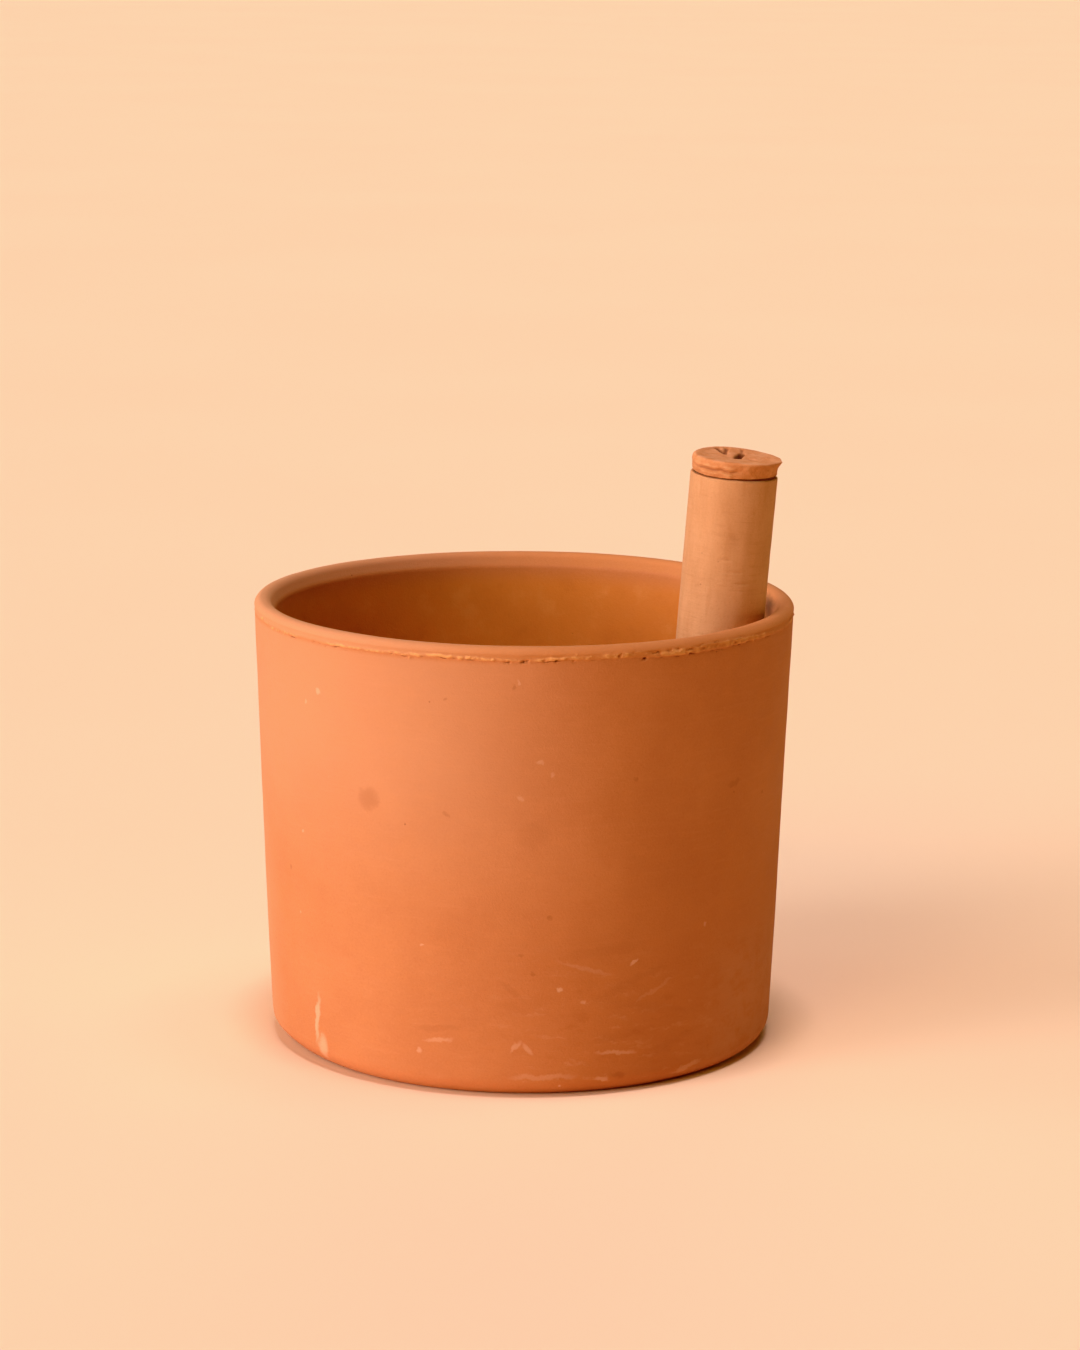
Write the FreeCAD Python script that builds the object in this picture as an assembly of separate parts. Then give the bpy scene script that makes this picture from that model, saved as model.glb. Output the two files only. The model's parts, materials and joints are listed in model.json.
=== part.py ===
"""Mortar and pestle in unglazed terracotta.

The mortar is a slightly tapered cylindrical cup. The pestle stands in it and leans on the rim: a plain
round shaft with a domed grinding end, closed at its upper end by a separate clay disc whose spigot sits in
a socket.

Millimetres, +Z up. The origin is the centre of the mortar's base, on the surface that it stands on. -Y is
the front, and the pestle leans towards the right and a little to the front.
"""
import FreeCAD, Part

import math
import os

from FreeCAD import Placement, Rotation, Vector

# --- Driving dimensions: mortar ---
mortar_height = 107.0
rim_radius = 65.0            # outer wall produced up to the rim plane
base_radius = 60.7           # outer wall produced down to the base plane
foot_round = 5.0             # rounded outer edge of the base
wall_thickness = 4.9         # measured horizontally, below the lip
floor_thickness = 7.0
inside_corner_radius = 10.0  # between the floor and the inner wall
lip_width = 4.3              # across the lip, before its edges are rounded
lip_edge_round = 1.9
lip_bevel_height = 3.4       # band inside the rim where the wall opens out to the lip
seam_drop = 3.0              # the raised seam round the outside, below the rim plane
seam_height = 0.9
seam_proud = 0.3

# --- Driving dimensions: pestle ---
shaft_radius = 10.25
grip_above_rim = 33.1        # along the shaft's axis, from the rim plane to the shaft's upper end
grinding_dome_radius = 14.0
grinding_edge_round = 3.0
shaft_top_round = 0.35
socket_radius = 4.6
socket_depth = 9.0
cap_height = 4.2
cap_neck_radius = 9.5        # undercut at the joint with the shaft
cap_neck_height = 0.45
cap_lower_radius = 9.85
cap_upper_radius = 10.5      # the disc flares towards its top
cap_flare_height = 3.4
cap_edge_round = 0.6
cap_hollow_depth = 0.5       # the top face is slightly concave
cap_offset = 0.3             # the disc sits this far off the shaft's axis, towards the wall
spigot_radius = 4.5
spigot_length = 8.0
vent_radius = 0.6            # blind pin hole in the cap's top
vent_depth = 2.5
vent_offset = 1.0            # in front of the disc's centre

# --- Driving dimensions: how the pestle stands in the mortar ---
rest_clearance = 0.15        # between the pestle and the mortar, at the floor and at the rim
lean_angle = 4.2             # of the pestle's axis from the vertical, degrees
lean_direction = -20.2       # the way that it leans, degrees about +Z from +X

wall_taper = (rim_radius - base_radius) / mortar_height


def outer_radius(height):
    """Radius of the mortar's outer wall at a height above the base."""
    return base_radius + wall_taper * height


def inner_radius(height):
    """Radius of the mortar's inner wall at a height above the base."""
    return outer_radius(height) - wall_thickness


def revolved(start, steps):
    """Solid of revolution about +Z from a closed profile of (radius, height) points.

    Each step is (end,) for a straight side, or (middle, end) for an arc through the middle point.
    """
    def at(point):
        return Vector(point[0], 0, point[1])

    edges = []
    here = start
    for step in steps:
        end = step[-1]
        if len(step) == 1:
            edges.append(Part.LineSegment(at(here), at(end)).toShape())
        else:
            edges.append(Part.Arc(at(here), at(step[0]), at(end)).toShape())
        here = end
    face = Part.Face(Part.Wire(edges))
    return face.revolve(Vector(0, 0, 0), Vector(0, 0, 1), 360)


def on_arc(centre, radius, degrees):
    """Point of a profile on an arc, with 0 degrees outwards and 90 degrees up."""
    angle = math.radians(degrees)
    return (centre[0] + radius * math.cos(angle), centre[1] + radius * math.sin(angle))


def arc(centre, radius, start, end):
    """An arc step from one angle to another, for a profile that is already at the start angle."""
    return (on_arc(centre, radius, (start + end) / 2), on_arc(centre, radius, end))


def mortar_body():
    """The cup: tapered wall, rounded lip with an outside seam, and a wide rounded corner inside."""
    seam_top = mortar_height - seam_drop + seam_height / 2
    seam_bottom = seam_top - seam_height
    seam_middle = (seam_top + seam_bottom) / 2
    lip_outer = outer_radius(mortar_height) - lip_edge_round
    lip_inner = rim_radius - lip_width + lip_edge_round
    lip_centre_height = mortar_height - lip_edge_round
    bevel_foot = mortar_height - lip_bevel_height
    corner_height = floor_thickness + inside_corner_radius
    corner_centre = (inner_radius(corner_height) - inside_corner_radius, corner_height)
    foot_centre = (outer_radius(foot_round) - foot_round, foot_round)
    return revolved((0, 0), [
        ((foot_centre[0], 0),),
        arc(foot_centre, foot_round, -90, 0),
        ((outer_radius(seam_bottom), seam_bottom),),
        ((outer_radius(seam_middle) + seam_proud, seam_middle), (outer_radius(seam_top), seam_top)),
        ((rim_radius, lip_centre_height),),
        arc((lip_outer, lip_centre_height), lip_edge_round, 0, 90),
        ((lip_inner, mortar_height),),
        arc((lip_inner, lip_centre_height), lip_edge_round, 90, 180),
        ((inner_radius(bevel_foot), bevel_foot),),
        ((inner_radius(corner_height), corner_height),),
        arc(corner_centre, inside_corner_radius, 0, -90),
        ((0, floor_thickness),),
        ((0, 0),),
    ])


def shaft_length():
    """From the tip of the grinding end to the shaft's upper end."""
    lean = math.radians(lean_angle)
    dome_centre = floor_thickness + rest_clearance + grinding_dome_radius
    centre_to_rim = (mortar_height - dome_centre) / math.cos(lean)
    return grinding_dome_radius + centre_to_rim + grip_above_rim


def pestle_shaft():
    """Round shaft, tip at the origin: domed grinding end below, socket for the end cap above."""
    length = shaft_length()
    edge_centre_radius = shaft_radius - grinding_edge_round
    between_centres = grinding_dome_radius - grinding_edge_round
    drop = math.sqrt(between_centres ** 2 - edge_centre_radius ** 2)
    edge_centre = (edge_centre_radius, grinding_dome_radius - drop)
    meeting_angle = -math.degrees(math.acos(edge_centre_radius / between_centres))
    top_centre = (shaft_radius - shaft_top_round, length - shaft_top_round)
    return revolved((0, 0), [
        arc((0, grinding_dome_radius), grinding_dome_radius, -90, meeting_angle),
        arc(edge_centre, grinding_edge_round, meeting_angle, 0),
        ((shaft_radius, length - shaft_top_round),),
        arc(top_centre, shaft_top_round, 0, 90),
        ((socket_radius, length),),
        ((socket_radius, length - socket_depth),),
        ((0, length - socket_depth),),
        ((0, 0),),
    ])


def pestle_end_cap():
    """Flared clay disc on the shaft's upper end, with its spigot, undercut neck and pin hole."""
    seat = shaft_length()
    top = seat + cap_height
    edge_centre = (cap_upper_radius - cap_edge_round, top - cap_edge_round)
    disc = revolved((0, seat), [
        ((cap_neck_radius, seat),),
        ((cap_neck_radius, seat + cap_neck_height),),
        ((cap_lower_radius, seat + cap_neck_height),),
        ((cap_upper_radius, seat + cap_flare_height),),
        ((cap_upper_radius, top - cap_edge_round),),
        arc(edge_centre, cap_edge_round, 0, 90),
        ((edge_centre[0] / 2, top - 0.75 * cap_hollow_depth), (0, top - cap_hollow_depth)),
        ((0, seat),),
    ])
    disc.translate(Vector(cap_offset, 0, 0))
    spigot = Part.makeCylinder(spigot_radius, spigot_length, Vector(0, 0, seat - spigot_length))
    vent_foot = Vector(cap_offset, -vent_offset, top - vent_depth)
    vent = Part.makeCylinder(vent_radius, vent_depth + 1, vent_foot)
    return disc.fuse(spigot).cut(vent).removeSplitter()


def pestle_placement():
    """Stands the pestle on the floor, with its shaft against the inner edge of the rim."""
    lean = math.radians(lean_angle)
    bevel_foot = mortar_height - lip_bevel_height
    dome_centre_height = floor_thickness + rest_clearance + grinding_dome_radius
    axis_at_bevel = inner_radius(bevel_foot) - rest_clearance - shaft_radius / math.cos(lean)
    dome_centre_reach = axis_at_bevel - (bevel_foot - dome_centre_height) * math.tan(lean)
    upright = Placement(Vector(0, 0, -grinding_dome_radius), Rotation())
    leaning = Placement(
        Vector(dome_centre_reach, 0, dome_centre_height),
        Rotation(Vector(0, 1, 0), lean_angle),
    )
    turned = Placement(Vector(0, 0, 0), Rotation(Vector(0, 0, 1), lean_direction))
    return turned.multiply(leaning).multiply(upright)


def main():
    os.makedirs("parts", exist_ok=True)
    stand = pestle_placement()
    parts = {"mortar_body": mortar_body()}
    for name, shape in (("pestle_shaft", pestle_shaft()), ("pestle_end_cap", pestle_end_cap())):
        shape.Placement = stand.multiply(shape.Placement)
        parts[name] = shape
    for name, shape in parts.items():
        shape.exportStep(f"parts/{name}.step")
        volume = round(shape.Volume / 1000, 2)
        print(name, "valid:", shape.isValid(), "solids:", len(shape.Solids), "cm3:", volume)
    axis = stand.Rotation.multVec(Vector(0, 0, 1))
    print("pestle axis", [round(value, 5) for value in axis])
    print("pestle tip", [round(value, 3) for value in stand.Base])
    print("pestle length", round(shaft_length() + cap_height, 2))
    print("gap mortar to shaft", round(parts["mortar_body"].distToShape(parts["pestle_shaft"])[0], 3))


main()
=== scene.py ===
import itertools
import json
import math

import bpy
import numpy as np
from mathutils import Matrix, Vector


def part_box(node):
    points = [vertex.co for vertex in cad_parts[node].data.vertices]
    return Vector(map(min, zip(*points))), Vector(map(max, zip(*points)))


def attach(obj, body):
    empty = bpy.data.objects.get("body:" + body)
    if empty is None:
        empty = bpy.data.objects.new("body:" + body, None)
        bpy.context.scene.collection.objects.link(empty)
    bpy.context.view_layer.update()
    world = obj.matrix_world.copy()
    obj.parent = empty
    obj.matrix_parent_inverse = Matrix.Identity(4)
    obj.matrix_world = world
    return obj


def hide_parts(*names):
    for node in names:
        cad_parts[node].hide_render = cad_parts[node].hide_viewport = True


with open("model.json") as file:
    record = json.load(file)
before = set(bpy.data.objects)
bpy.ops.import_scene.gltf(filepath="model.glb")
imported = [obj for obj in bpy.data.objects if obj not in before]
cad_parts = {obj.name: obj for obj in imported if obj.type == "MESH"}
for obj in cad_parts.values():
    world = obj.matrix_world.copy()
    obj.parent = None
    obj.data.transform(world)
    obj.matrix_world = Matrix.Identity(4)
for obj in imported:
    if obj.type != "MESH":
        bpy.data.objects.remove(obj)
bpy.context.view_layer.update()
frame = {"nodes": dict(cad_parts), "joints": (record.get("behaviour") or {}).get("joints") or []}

MM = 0.001

# --- Mortar, in millimetres, on the CAD cup's own axis ---
mortar_low, mortar_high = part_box("mortar_body")
MORTAR_HEIGHT = (mortar_high[2] - mortar_low[2]) / MM
RIM_RADIUS = 65.0
BASE_RADIUS = 60.7
FOOT_ROUND = 5.0
WALL_THICKNESS = 4.9
FLOOR_THICKNESS = 7.0
CORNER_RADIUS = 10.0
LIP_WIDTH = 4.3
LIP_ROUND = 1.9
BEVEL_HEIGHT = 3.4
BEVEL_START = 158  # degrees round the lip's inner arc, whose top is at 90
SEAM_LOW, SEAM_MIDDLE, SEAM_HIGH = MORTAR_HEIGHT - 4.4, MORTAR_HEIGHT - 3.0, MORTAR_HEIGHT - 1.3


def smoothstep(low, high, value):
    """0 below low, 1 above high, and smooth between."""
    t = np.clip((value - low) / (high - low), 0.0, 1.0)
    return t * t * (3 - 2 * t)


class Noise:
    """Smooth random field in space, from about -1 to 1, with features one unit wide."""

    SIDE = 32
    FINER = 2.03
    SHIFT = 7.3

    def __init__(self, seed):
        self.grid = np.random.default_rng(seed).uniform(-1, 1, (self.SIDE,) * 3)

    def __call__(self, points):
        cell = np.floor(points).astype(int)
        share = points - cell
        share = share * share * (3 - 2 * share)
        total = np.zeros(points.shape[:-1])
        for corner in itertools.product((0, 1), repeat=3):
            weight = np.prod(np.where(corner, share, 1 - share), axis=-1)
            x, y, z = np.moveaxis((cell + corner) % self.SIDE, -1, 0)
            total += weight * self.grid[x, y, z]
        return total

    def fractal(self, points, octaves=4):
        """Sum of the field at finer and finer scales."""
        total, weight = np.zeros(points.shape[:-1]), 1.0
        for octave in range(octaves):
            total += weight * self(points * self.FINER ** octave + self.SHIFT * octave)
            weight *= 0.5
        return total


def circle(count):
    """Angles of a ring's points."""
    return np.arange(count) * (2 * math.pi / count)


def bearing_of(angle):
    """Degrees round the axis, from -180 to 180: 0 is the front, where the camera is, and 90 the right."""
    return np.degrees((angle + 1.5 * math.pi) % (2 * math.pi) - math.pi)


def bump(distance, reach):
    """1 at no distance, and falling off smoothly over about reach."""
    return np.exp(-((distance / reach) ** 2))


def near(bearing, where, reach):
    """1 at a bearing and falling off over about reach degrees, either way round."""
    return bump((bearing - where + 180) % 360 - 180, reach)


def around(radius, angle, height):
    """Points at those radii, angles and heights about the axis."""
    return np.stack([radius * np.cos(angle), radius * np.sin(angle), height + 0 * angle], axis=-1)


def ring_mesh(name, rings, cavity, matrix):
    """Closed mesh through rings of points in millimetres, whose first and last rings are one point each.

    Between them, a ring has as many points as the one before it, or half or twice as many. cavity holds
    a number for each point, stored on the mesh: positive in a pit or groove, where the materials paint
    shade, and negative on a ridge.
    """
    starts = np.cumsum([0] + [len(ring) for ring in rings])
    faces = []
    for k in range(len(rings) - 1):
        a, b = int(starts[k]), int(starts[k + 1])
        n, m = len(rings[k]), len(rings[k + 1])
        if n == 1:
            faces += [(a, b + (i + 1) % m, b + i) for i in range(m)]
        elif m == 1:
            faces += [(a + i, a + (i + 1) % n, b) for i in range(n)]
        elif n == m:
            faces += [(a + i, a + (i + 1) % n, b + (i + 1) % n, b + i) for i in range(n)]
        elif m == 2 * n:
            for i in range(n):
                here, after = a + i, a + (i + 1) % n
                left, middle, right = b + 2 * i, b + 2 * i + 1, b + (2 * i + 2) % m
                faces += [(here, middle, left), (here, after, middle), (after, right, middle)]
        else:
            for i in range(m):
                left, middle, right = a + 2 * i, a + 2 * i + 1, a + (2 * i + 2) % n
                here, after = b + i, b + (i + 1) % m
                faces += [(left, middle, here), (middle, after, here), (middle, right, after)]
    mesh = bpy.data.meshes.new(name)
    mesh.from_pydata((np.concatenate(rings) * MM).tolist(), [], faces)
    mesh.polygons.foreach_set("use_smooth", [True] * len(mesh.polygons))
    layer = mesh.attributes.new("cavity", "FLOAT", "POINT")
    layer.data.foreach_set("value", np.concatenate(cavity).astype(np.float32))
    mesh.transform(matrix)
    mesh.update()
    piece = bpy.data.objects.new(name, mesh)
    bpy.context.scene.collection.objects.link(piece)
    return piece


ONE_STEP = 99


class Outline:
    """Half outline of a turned body: points (radius, height), each with how many points its ring has.

    A step is the length between two points, and ONE_STEP is longer than any run, so it adds only the end.
    """

    def __init__(self, start, count):
        self.points = [start]
        self.counts = [count]

    def line(self, end, step, count):
        """Straight on to the end."""
        start = self.points[-1]
        parts = max(1, round(math.dist(start, end) / step))
        for i in range(1, parts + 1):
            t = i / parts
            self.points.append((start[0] + t * (end[0] - start[0]), start[1] + t * (end[1] - start[1])))
            self.counts.append(count)

    def arc(self, centre, radius, first, last, step, count):
        """Round a centre, from the first angle to the last, in degrees."""
        parts = max(1, round(abs(math.radians(last - first)) * radius / step))
        for i in range(1, parts + 1):
            angle = math.radians(first + i / parts * (last - first))
            self.points.append((centre[0] + radius * math.cos(angle), centre[1] + radius * math.sin(angle)))
            self.counts.append(count)

    def normals(self):
        """Outward direction at each point, for an outline that runs outwards, up and back in."""
        points = np.array(self.points)
        along = np.gradient(points, axis=0)
        along /= np.linalg.norm(along, axis=1)[:, None]
        return np.stack([along[:, 1], -along[:, 0]], axis=1)


def shaped(name, outline, relief, matrix):
    """Turned body whose surface is moved out by relief(angle, radius, height, points).

    relief returns how far each point of a ring moves along the outline's normal, and its cavity.
    """
    rings, cavity = [], []
    for point, count, normal in zip(outline.points, outline.counts, outline.normals()):
        angle = circle(count)
        radius, height = point
        out, hollow = relief(angle, radius, height, around(radius, angle, height))
        if count == 1:
            normal = np.array([0.0, np.sign(normal[1])])
        rings.append(around(radius + out * normal[0], angle, height + out * normal[1]))
        cavity.append(np.broadcast_to(hollow, angle.shape))
    return ring_mesh(name, rings, cavity, matrix)


# --- Mortar ---
COARSE, MIDDLE, FINE, FINEST = 256, 512, 1024, 2048
ARC = RIM_RADIUS * math.pi / 180

# Pits along the lip's seam: bearing, drop below the rim, half length, half height and depth.
SEAM_PITS = [
    (-56, 3.6, 0.7, 0.20, 0.30),
    (-48.5, 3.4, 0.6, 0.18, 0.25),
    (-46.5, 3.5, 0.3, 0.18, 0.30),
    (-44.5, 3.6, 0.4, 0.18, 0.25),
    (-42, 3.6, 0.5, 0.16, 0.25),
    (-39, 3.8, 0.8, 0.16, 0.25),
    (-23, 3.6, 0.5, 0.14, 0.20),
    (-10.5, 2.6, 0.2, 0.20, 0.30),
    (-3, 3.2, 0.7, 0.28, 0.60),
    (0.5, 3.1, 0.9, 0.26, 0.60),
    (4, 2.9, 0.4, 0.30, 0.55),
    (6.5, 3.0, 0.4, 0.26, 0.50),
    (10, 3.1, 0.3, 0.16, 0.30),
    (19.5, 2.1, 0.3, 0.45, 0.45),
    (22.5, 2.0, 0.5, 0.16, 0.30),
    (25, 3.4, 0.6, 0.26, 0.60),
    (28, 2.2, 1.1, 0.18, 0.45),
    (30.5, 2.0, 0.4, 0.24, 0.55),
    (32.5, 2.1, 0.7, 0.20, 0.50),
    (35.5, 2.3, 0.9, 0.18, 0.45),
    (36, 3.2, 1.4, 0.18, 0.40),
    (39.5, 2.4, 0.7, 0.20, 0.50),
    (42.5, 2.3, 0.8, 0.16, 0.40),
    (44.5, 3.5, 1.0, 0.16, 0.35),
    (49, 2.4, 0.5, 0.24, 0.60),
    (61, 3.2, 0.9, 0.16, 0.25),
]
# Crumbs of clay that stand on the seam: bearing, drop, half length, half height and height out.
SEAM_CRUMBS = [
    (-27, 3.1, 0.4, 0.30, 0.22),
    (-23.5, 3.3, 0.3, 0.40, 0.25),
    (-13, 3.0, 0.8, 0.22, 0.18),
    (-6.5, 2.8, 0.8, 0.26, 0.22),
    (10.5, 1.7, 0.2, 0.20, 0.20),
    (13.5, 2.0, 0.2, 0.24, 0.22),
    (17, 2.9, 0.5, 0.22, 0.18),
    (44, 3.5, 0.9, 0.30, 0.24),
    (55, 3.0, 0.4, 0.26, 0.20),
]


def outer_radius(height):
    return BASE_RADIUS + (RIM_RADIUS - BASE_RADIUS) * height / MORTAR_HEIGHT


def inner_radius(height):
    return outer_radius(height) - WALL_THICKNESS


def mortar_outline():
    """From the middle of the underside out, up the wall, over the lip and down to the middle of the bowl."""
    foot = (outer_radius(FOOT_ROUND) - FOOT_ROUND, FOOT_ROUND)
    lip_low = MORTAR_HEIGHT - LIP_ROUND
    lip_out, lip_in = RIM_RADIUS - LIP_ROUND, RIM_RADIUS - LIP_WIDTH + LIP_ROUND
    turn = math.degrees(math.asin((SEAM_HIGH - lip_low) / LIP_ROUND))
    bevel_foot = MORTAR_HEIGHT - BEVEL_HEIGHT
    corner_top = FLOOR_THICKNESS + CORNER_RADIUS
    corner = (inner_radius(corner_top) - CORNER_RADIUS, corner_top)
    shape = Outline((0.0, 0.0), 1)
    for radius, count in ((3.5, 16), (7, 32), (14, 64), (24, 128), (34, COARSE), (44, COARSE), (52, COARSE)):
        shape.line((radius, 0.0), ONE_STEP, count)
    shape.line((foot[0], 0.0), 2.0, MIDDLE)
    shape.arc(foot, FOOT_ROUND, -90, 0, 0.9, MIDDLE)
    shape.line((outer_radius(SEAM_LOW - 1.0), SEAM_LOW - 1.0), 1.9, MIDDLE)
    shape.line((outer_radius(SEAM_LOW), SEAM_LOW), 0.5, FINE)
    shape.line((outer_radius(lip_low), lip_low), 0.19, FINEST)
    shape.arc((lip_out, lip_low), LIP_ROUND, 0, turn, 0.19, FINEST)
    shape.arc((lip_out, lip_low), LIP_ROUND, turn, 90, 0.3, FINE)
    shape.line((lip_in, MORTAR_HEIGHT), 0.25, FINE)
    shape.arc((lip_in, lip_low), LIP_ROUND, 90, BEVEL_START, 0.35, MIDDLE)
    shape.line((inner_radius(bevel_foot), bevel_foot), 0.4, MIDDLE)
    shape.line((inner_radius(bevel_foot - 3), bevel_foot - 3), 0.6, MIDDLE)
    shape.line((inner_radius(corner_top), corner_top), 2.6, COARSE)
    shape.arc(corner, CORNER_RADIUS, 0, -90, 1.4, COARSE)
    for radius, count in ((40, COARSE), (33, COARSE), (26, 128), (19, 128), (12, 64), (7, 32), (3.5, 16)):
        shape.line((radius, FLOOR_THICKNESS), ONE_STEP, count)
    shape.line((0.0, FLOOR_THICKNESS), ONE_STEP, 1)
    return shape


def back_of_seam():
    """Random pits and crumbs for the part of the seam that is turned away."""
    rng = np.random.default_rng(17)
    pits, crumbs = [], []
    for bearing in np.arange(76, 300, 2.6):
        spot = (bearing + rng.uniform(-1.5, 1.5), rng.uniform(2.0, 3.7))
        size = (rng.uniform(0.3, 1.0), rng.uniform(0.16, 0.28), rng.uniform(0.2, 0.5))
        (pits if rng.random() < 0.6 else crumbs).append(spot + size)
    return pits, crumbs


def mortar_relief():
    """Waves in the wall, a worn place at the foot and the seam below the lip."""
    broad, middle, fine = Noise(3), Noise(5), Noise(8)
    pits, crumbs = back_of_seam()
    pits, crumbs = SEAM_PITS + pits, SEAM_CRUMBS + crumbs

    def seam(bearing, spots, drop):
        """Raised crumbly strip with pits and crumbs, where the lip was joined to the wall."""
        level = spots * (1, 1, 0)
        right = near(bearing, 38, 20)
        lower = 3.25 - 0.3 * np.cos(np.radians(bearing)) + 0.28 * middle.fractal(level / 9.0, 3)
        lower += 0.14 * fine.fractal(level / 1.6, 2)
        upper = lower - 0.5 - 0.95 * right + 0.16 * fine.fractal(level / 1.9 + 9, 3)
        strength = 0.6 + 0.4 * np.clip(middle(level / 7.0 + 11) * 1.6, -1, 1)
        strength += 0.35 * near(bearing, -14, 18) + 0.3 * right
        strength *= 1 - 0.75 * near(bearing, -85, 28)
        rough = fine.fractal(spots / 0.9, 3)
        strip = smoothstep(-0.22, 0.10, drop - upper) * (1 - smoothstep(0.0, 0.16, drop - lower))
        out = strength * strip * (0.19 + 0.12 * rough)
        hollow = -strength * strip * (0.75 + 0.8 * rough)
        # Fine grooves under and over the strip; their cavity paints a line of shade along them.
        under = bump(drop - lower - 0.24, 0.14) * np.clip(0.3 + 1.3 * fine(level / 1.3 + 5), 0, 1) * strength
        over = bump(drop - upper + 0.16, 0.14) * np.clip(1.6 * fine(level / 1.1 + 3), 0, 1) * right
        out -= 0.15 * (under + over)
        hollow += 1.0 * (under + over)
        for kind, sign in ((pits, -1), (crumbs, 1)):
            for where, below, half_length, half_height, amount in kind:
                if abs(drop - below) > 1.0:
                    continue
                wobble = 0.8 * fine(spots * 1.9)
                along = ((bearing - where + 180) % 360 - 180) * ARC / half_length
                spot = bump(np.hypot(along + wobble, (drop - below) / half_height - wobble), 1.0)
                spot *= np.clip(0.8 + 0.8 * fine(spots * 2.9 + 5), 0, 1)
                out += sign * amount * spot
                hollow -= sign * (2.6 * amount if sign < 0 else 1.2) * spot
        return out, hollow

    def relief(angle, radius, height, spots):
        bearing = bearing_of(angle)
        out = 0.13 * broad(spots / 31.0) + 0.04 * middle.fractal(spots / 8.0, 3)
        out *= smoothstep(0.0, FLOOR_THICKNESS, height)
        out -= 0.8 * near(bearing, -66, 24) * bump(height - 1.5, 2.5) * smoothstep(53.0, 56.0, radius)
        hollow = np.zeros_like(angle)
        drop = MORTAR_HEIGHT - height
        if radius > RIM_RADIUS - LIP_ROUND and drop < 5:
            more, hollow = seam(bearing, spots, drop)
            out = out + more
        return out, hollow

    return relief


def make_mortar():
    return shaped("mortar_cup", mortar_outline(), mortar_relief(), Matrix.Identity(4))


# --- Pestle ---
def node_points(node):
    """The CAD node's vertices, in millimetres."""
    mesh = frame["nodes"][node].data
    points = np.empty(len(mesh.vertices) * 3)
    mesh.vertices.foreach_get("co", points)
    return points.reshape(-1, 3) / MM


def pestle_axes():
    """Across to the right, across to the back, and up along the joint that the pestle slides on."""
    joint = next(j for j in frame["joints"] if j["child"] == "pestle")
    up = np.array(joint["axis"]) / np.linalg.norm(joint["axis"])
    right = np.cross([0.0, 1.0, 0.0], up)
    right /= np.linalg.norm(right)
    return right, np.cross(up, right), up


def placed(node):
    """Middle of the node's cross-section, its two ends along the pestle's axis, and its radius."""
    right, back, up = pestle_axes()
    points = node_points(node)
    u, v, w = points @ right, points @ back, points @ up
    middle = (u.min() + u.max()) / 2 * right + (v.min() + v.max()) / 2 * back
    return middle, w.min(), w.max(), (u.max() - u.min()) / 2


def standing(middle, place):
    """Matrix that stands a piece made upright at the origin on the pestle's axis, at a place along it."""
    right, back, up = pestle_axes()
    foot = (middle + place * up) * MM
    return Matrix([[right[i], back[i], up[i], foot[i]] for i in range(3)] + [[0, 0, 0, 1]])


GRINDING_DOME = 14.0
GRINDING_EDGE = 3.0
SHAFT_TOP_ROUND = 0.35
SHAFT_FINE = 46.0


def shaft_outline(radius, length):
    """From the middle of the grinding dome out, up the shaft and in to the middle of its flat top."""
    edge = radius - GRINDING_EDGE
    between = GRINDING_DOME - GRINDING_EDGE
    meeting = -math.degrees(math.acos(edge / between))
    centre = (edge, GRINDING_DOME - math.sqrt(between ** 2 - edge ** 2))
    dome = (0.0, GRINDING_DOME)
    shape = Outline((0.0, 0.0), 1)
    shape.arc(dome, GRINDING_DOME, -90, -86, ONE_STEP, 24)
    shape.arc(dome, GRINDING_DOME, -86, -78, ONE_STEP, 48)
    shape.arc(dome, GRINDING_DOME, -78, meeting, 0.9, 96)
    shape.arc(centre, GRINDING_EDGE, meeting, 0, 0.5, 96)
    shape.line((radius, length - SHAFT_FINE), 1.2, 96)
    shape.line((radius, length - SHAFT_TOP_ROUND), 0.25, 192)
    shape.arc((radius - SHAFT_TOP_ROUND, length - SHAFT_TOP_ROUND), SHAFT_TOP_ROUND, 0, 90, 0.12, 192)
    shape.line((8.0, length), 0.8, 192)
    for end, count in ((4.0, 96), (2.0, 48), (1.0, 24), (0.0, 1)):
        shape.line((end, length), ONE_STEP, count)
    return shape


# Dents in the shaft: bearing, distance below its top, half width, half height and depth.
SHAFT_DENTS = [
    (5, 13.6, 1.4, 2.0, 0.16),
    (-6, 18.8, 1.8, 0.35, 0.12),
    (12, 21.6, 2.2, 0.25, 0.12),
    (22, 24.4, 2.6, 0.25, 0.12),
    (30, 7.5, 0.5, 0.4, 0.15),
    (-40, 26.0, 0.8, 0.5, 0.10),
    (150, 12.0, 1.6, 1.2, 0.15),
    (-120, 30.0, 2.0, 0.4, 0.12),
]


def shaft_relief(length):
    """Turning marks, a few flats from the hand and dents in the clay."""
    broad, fine = Noise(21), Noise(23)

    def relief(angle, radius, height, spots):
        bearing = bearing_of(angle)
        out = 0.10 * broad(spots / (9.0, 9.0, 22.0)) + 0.02 * fine.fractal(spots / 2.5, 3)
        marks = fine.fractal(spots / (7.0, 7.0, 0.55), 2)
        below_top = length - height
        turned_part = bump(below_top - 22, 13) * (0.45 + 0.55 * bump(bearing - 15, 45))
        out = out + 0.016 * turned_part * np.minimum(marks, 0.3)
        hollow = -0.25 * turned_part * np.clip(marks, -1, 0)
        for where, below, across, along, depth in SHAFT_DENTS:
            sideways = bump((bearing - where) * math.pi / 180 * radius / across, 1)
            dent = sideways * bump((below_top - below) / along, 1)
            out -= depth * dent
            hollow += 1.5 * depth * dent
        near_axis = smoothstep(0.5, 4.0, radius)
        return out * near_axis, hollow * near_axis

    return relief


def make_shaft():
    middle, low, high, radius = placed("pestle_shaft")
    length = high - low
    return shaped("pestle_grip", shaft_outline(radius, length), shaft_relief(length), standing(middle, low))


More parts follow.
